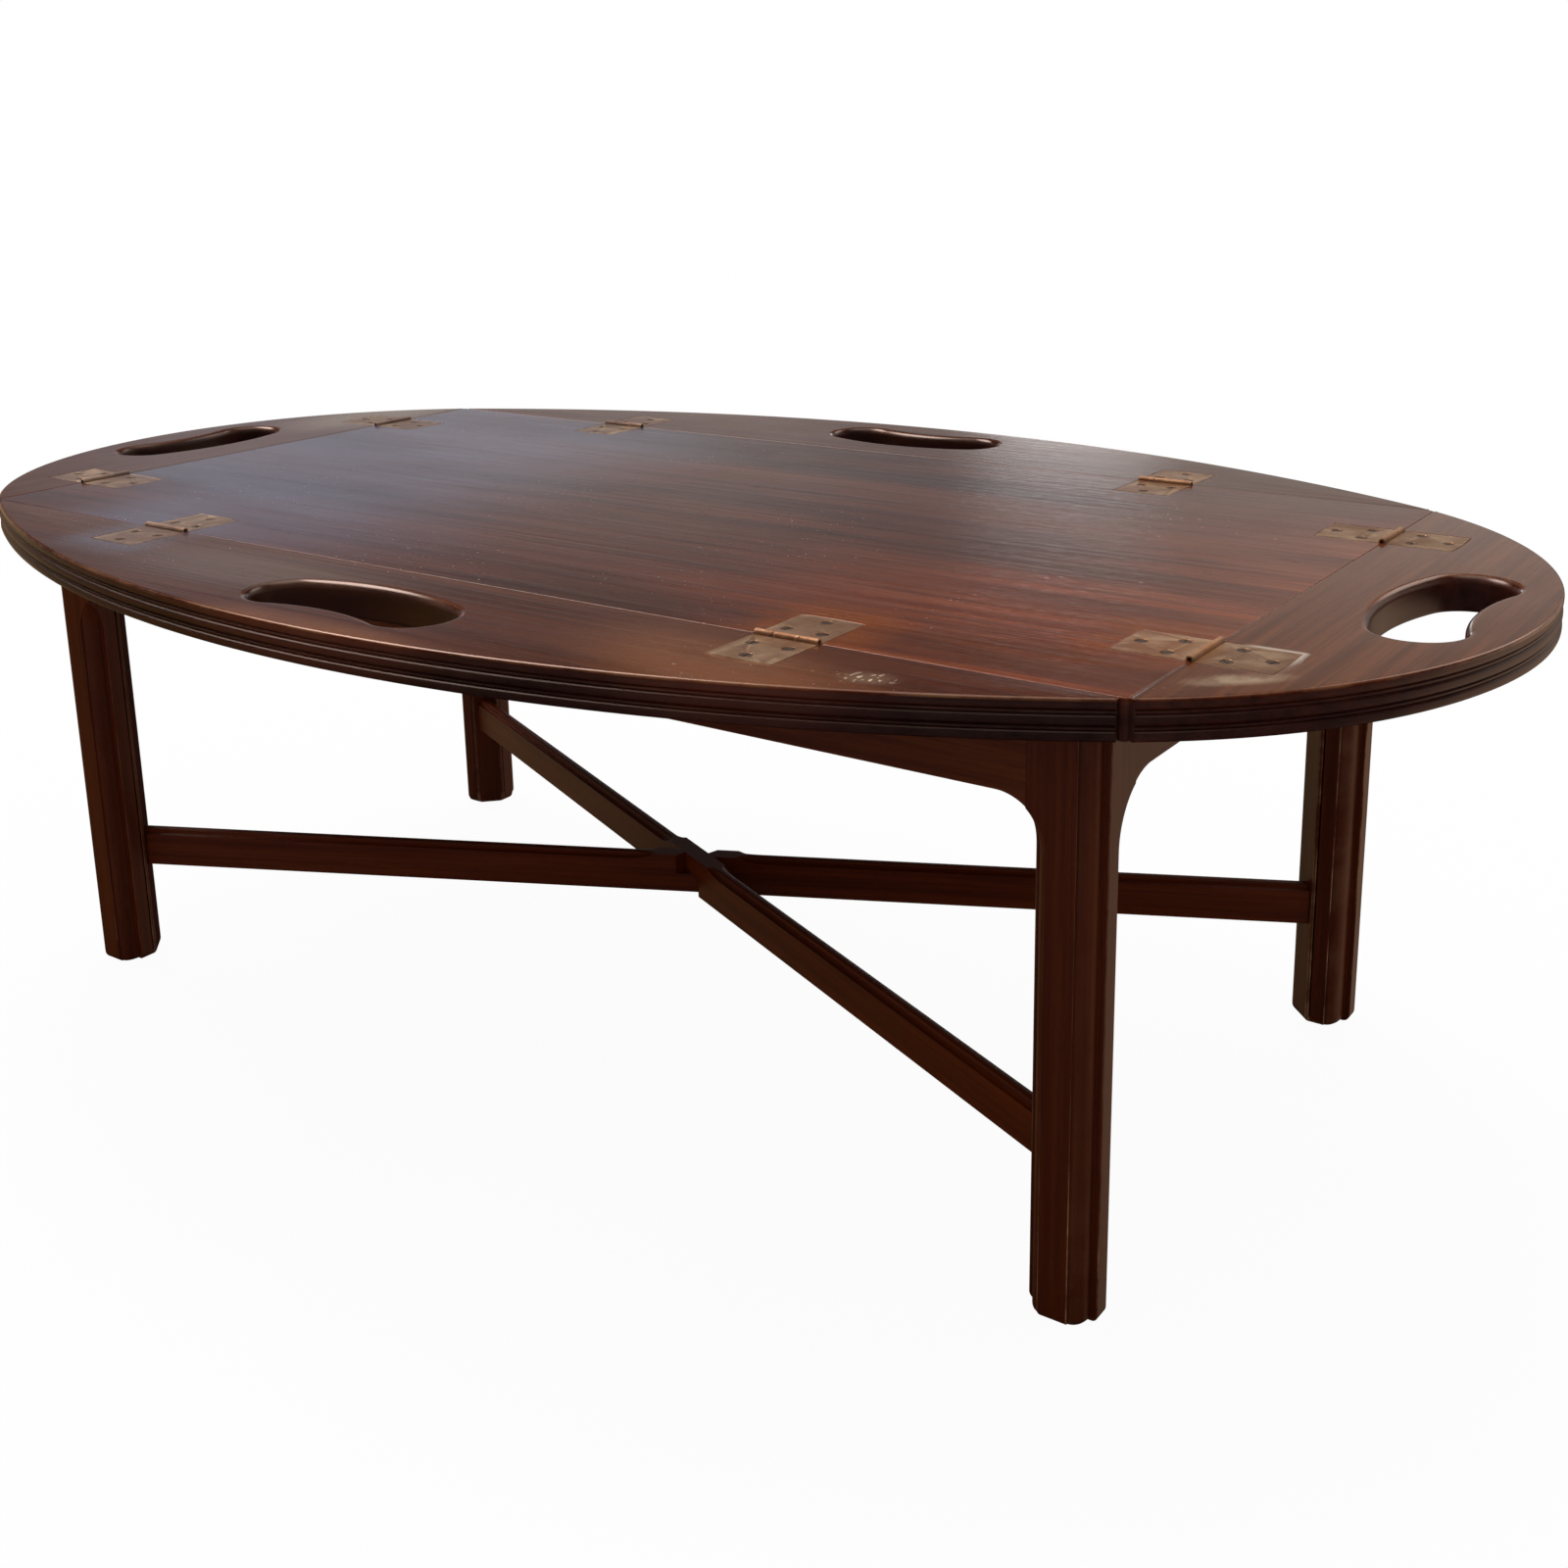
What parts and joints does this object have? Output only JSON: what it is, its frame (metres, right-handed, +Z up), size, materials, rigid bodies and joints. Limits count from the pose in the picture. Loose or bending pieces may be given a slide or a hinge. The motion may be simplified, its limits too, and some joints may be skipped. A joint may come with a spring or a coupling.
{
  "type": "butler tray coffee table",
  "caption": "Oval coffee table whose lift-off tray has four fold-up leaves with hand slots on brass hinges, on a stand with square moulded legs and crossed stretchers.",
  "frame": {"origin": "on the floor under the middle of the table", "axes": "+X along the long side of the tray, +Y towards the back leaf, +Z up"},
  "size_m": [1.3696, 0.8486, 0.4334],
  "materials": {
    "mahogany": "worn gloss lacquer",
    "brass": "aged, slightly tarnished"
  },
  "bodies": {
    "stand": {"leg_back_right": "mahogany", "leg_back_left": "mahogany", "leg_front_left": "mahogany", "leg_front_right": "mahogany", "rail_back": "mahogany", "rail_front": "mahogany", "rail_right": "mahogany", "rail_left": "mahogany", "corner_block_back_right": "mahogany", "corner_block_back_left": "mahogany", "corner_block_front_left": "mahogany", "corner_block_front_right": "mahogany", "stretcher_upper": "mahogany", "stretcher_lower": "mahogany"},
    "tray": {"tray_panel": "mahogany", "cleat_back": "mahogany", "cleat_front": "mahogany", "cleat_right": "mahogany", "cleat_left": "mahogany", "hinges_panel_side_back": "brass", "hinges_panel_side_front": "brass", "hinges_panel_side_left": "brass", "hinges_panel_side_right": "brass"},
    "leaf_back": {"leaf_back": "mahogany", "hinges_leaf_side_back": "brass"},
    "leaf_front": {"leaf_front": "mahogany", "hinges_leaf_side_front": "brass"},
    "leaf_left": {"leaf_left": "mahogany", "hinges_leaf_side_left": "brass"},
    "leaf_right": {"leaf_right": "mahogany", "hinges_leaf_side_right": "brass"}
  },
  "joints": [
    {"name": "tray_lift", "type": "slide", "parent": "stand", "child": "tray", "axis": [0, 0, 1], "range_m": [0, 0.12]},
    {"name": "leaf_back_hinge", "type": "hinge", "parent": "tray", "child": "leaf_back", "pos_m": [0, 0.28215, 0.4308], "axis": [1, 0, 0], "range_deg": [0, 90]},
    {"name": "leaf_front_hinge", "type": "hinge", "parent": "tray", "child": "leaf_front", "pos_m": [0, -0.28215, 0.4308], "axis": [-1, 0, 0], "range_deg": [0, 90]},
    {"name": "leaf_left_hinge", "type": "hinge", "parent": "tray", "child": "leaf_left", "pos_m": [-0.53015, 0, 0.4308], "axis": [0, 1, 0], "range_deg": [0, 90]},
    {"name": "leaf_right_hinge", "type": "hinge", "parent": "tray", "child": "leaf_right", "pos_m": [0.53015, 0, 0.4308], "axis": [0, -1, 0], "range_deg": [0, 90]}
  ]
}
